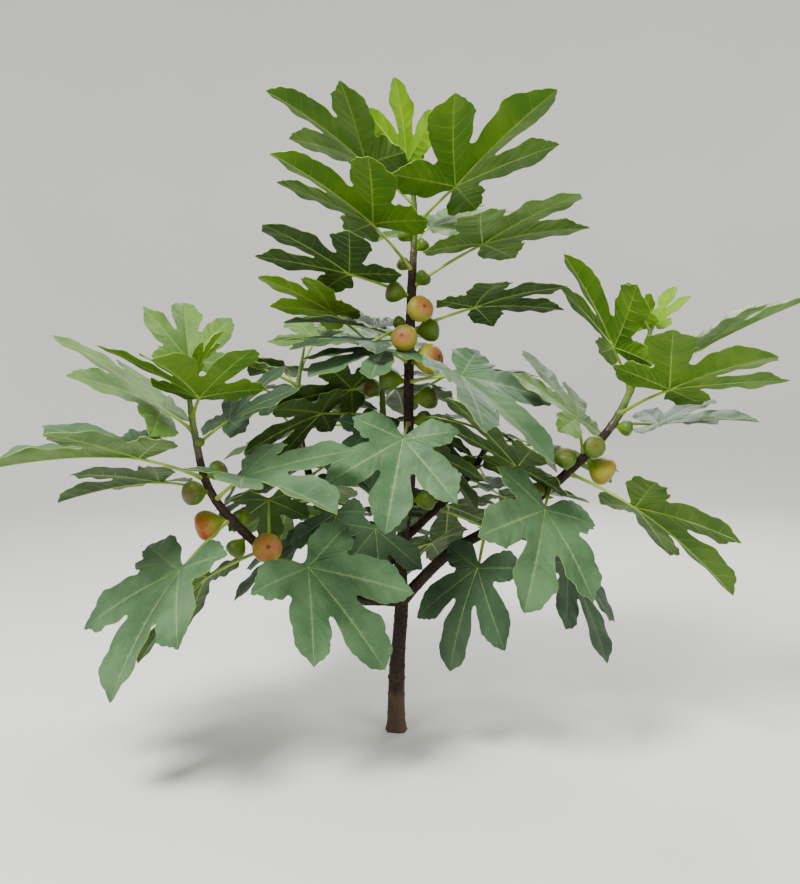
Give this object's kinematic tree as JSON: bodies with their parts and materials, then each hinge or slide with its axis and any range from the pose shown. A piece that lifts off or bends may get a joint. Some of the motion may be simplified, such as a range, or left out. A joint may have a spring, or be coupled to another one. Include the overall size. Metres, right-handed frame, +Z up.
{
  "type": "fig tree",
  "caption": "Young common fig tree in fruit: a leaning, tapered trunk with curved boughs, broad lobed leaves on long stalks and pear-shaped figs along every shoot.",
  "frame": {"origin": "middle of the flat cut under the trunk, level with the ground", "axes": "+Z up, +X to the viewer's right, -Y towards the viewer; the trunk leans very slightly to +X"},
  "size_m": [1.1724, 0.7779, 1.031],
  "materials": {
    "bark": "young fig bark: dark brown, finely ridged, with pale pores, and worn to grey-tan low on the trunk",
    "leaf": "mature fig leaf: rough and matte, grey-green above, paler below, with pale raised veins",
    "shoot": "young growth: smooth yellow-green stems, leaf stalks and unfolding leaves with a slight gloss",
    "fig_green": "unripe fig skin: green with faint ribs and pale flecks, satin",
    "fig_ripe": "ripe fig skin: tan to orange-brown with faint ribs and a reddish eye, satin"
  },
  "bodies": {
    "root": {"trunk": "bark", "bough_back": "bark", "bough_left": "bark", "bough_right": "bark", "bough_back_left": "bark", "bough_back_right": "bark", "spray_back_left_1": "leaf", "spray_back_left_2": "leaf", "spray_back_left_3": "leaf", "spray_back_right_1": "leaf", "spray_back_right_2": "leaf", "spray_back_right_3": "leaf", "spray_leader_1": "leaf", "spray_leader_3": "leaf", "spray_leader_4": "leaf", "spray_leader_5": "leaf", "spray_leader_6": "leaf", "spray_leader_7": "leaf", "spray_leader_8": "leaf", "spray_leader_9": "leaf", "spray_leader_11": "leaf", "spray_leader_12": "leaf", "spray_leader_13": "leaf", "spray_left_1": "leaf", "spray_left_2": "leaf", "spray_left_4": "leaf", "spray_left_5": "leaf", "spray_left_6": "leaf", "spray_left_7": "leaf", "spray_right_1": "leaf", "spray_right_2": "leaf", "spray_right_3": "leaf", "spray_right_4": "leaf", "spray_right_5": "leaf", "spray_right_6": "leaf", "fig_leader_2": "fig_green", "fig_leader_3": "fig_green", "fig_leader_5": "fig_green", "fig_leader_6": "fig_ripe", "fig_leader_7": "fig_ripe", "fig_leader_10": "fig_ripe", "fig_left_2": "fig_ripe", "fig_left_3": "fig_green", "fig_left_6": "fig_green", "fig_left_7": "fig_green", "fig_left_13": "fig_green", "fig_right_5": "fig_green", "fig_right_6": "fig_ripe", "fig_right_7": "fig_green", "crown_back": "shoot", "crown_leader": "shoot", "crown_left": "shoot", "crown_right": "shoot", "crown_back_left": "shoot", "crown_back_right": "shoot"}
  },
  "joints": []
}
